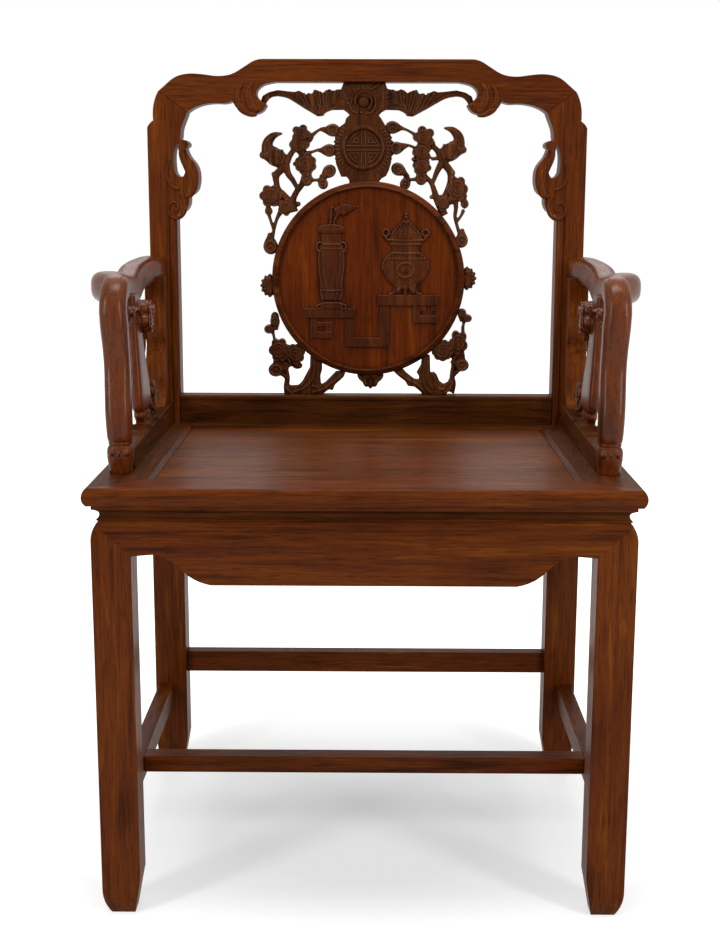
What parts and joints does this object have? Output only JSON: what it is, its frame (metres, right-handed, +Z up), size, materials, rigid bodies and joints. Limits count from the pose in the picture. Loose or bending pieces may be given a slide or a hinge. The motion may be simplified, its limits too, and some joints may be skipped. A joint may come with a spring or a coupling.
{
  "type": "carved wooden armchair",
  "caption": "Chinese hardwood armchair with a square panelled seat, stepped crest, cloud hooks, bowed arms and a pierced splat round a carved medallion.",
  "frame": {"origin": "on the floor under the middle of the seat frame", "axes": "+Z up, -Y towards the front of the chair, +X to the right as seen from the front"},
  "size_m": [0.659, 0.49, 0.9927],
  "materials": {
    "rosewood": "polished dark red-brown rosewood with a soft sheen",
    "rosewood_carving": "carved rosewood, darker and less polished in its hollows",
    "rosewood_panel": "polished rosewood boards with a warm straight grain"
  },
  "bodies": {
    "root": {"front_left_leg": "rosewood", "front_right_leg": "rosewood", "rear_left_leg": "rosewood", "rear_right_leg": "rosewood", "front_apron": "rosewood", "rear_apron": "rosewood", "left_apron": "rosewood", "right_apron": "rosewood", "front_waist": "rosewood", "rear_waist": "rosewood", "left_waist": "rosewood", "right_waist": "rosewood", "cross_stretcher": "rosewood", "rear_stretcher": "rosewood", "left_stretcher": "rosewood", "right_stretcher": "rosewood", "seat_front_rail": "rosewood", "seat_rear_rail": "rosewood", "seat_left_rail": "rosewood", "seat_right_rail": "rosewood", "seat_panel": "rosewood_panel", "seat_left_batten": "rosewood", "seat_right_batten": "rosewood", "back_left_post": "rosewood", "back_right_post": "rosewood", "crest_rail": "rosewood", "back_bottom_rail": "rosewood", "medallion_ring": "rosewood", "medallion_panel": "rosewood_panel", "fret_collar": "rosewood_carving", "bat_carving": "rosewood_carving", "lotus_drop": "rosewood_carving", "left_plum_branch": "rosewood_carving", "right_plum_branch": "rosewood_carving", "left_plum_root": "rosewood_carving", "right_plum_root": "rosewood_carving", "left_ring_blossom": "rosewood_carving", "right_ring_blossom": "rosewood_carving", "left_arm_rail": "rosewood", "left_arm_front_post": "rosewood", "left_arm_sill": "rosewood", "left_arm_stile": "rosewood", "left_arm_splat": "rosewood_carving", "left_arm_sprig": "rosewood_carving", "right_arm_rail": "rosewood", "right_arm_front_post": "rosewood", "right_arm_sill": "rosewood", "right_arm_stile": "rosewood", "right_arm_splat": "rosewood_carving", "right_arm_sprig": "rosewood_carving"}
  },
  "joints": []
}
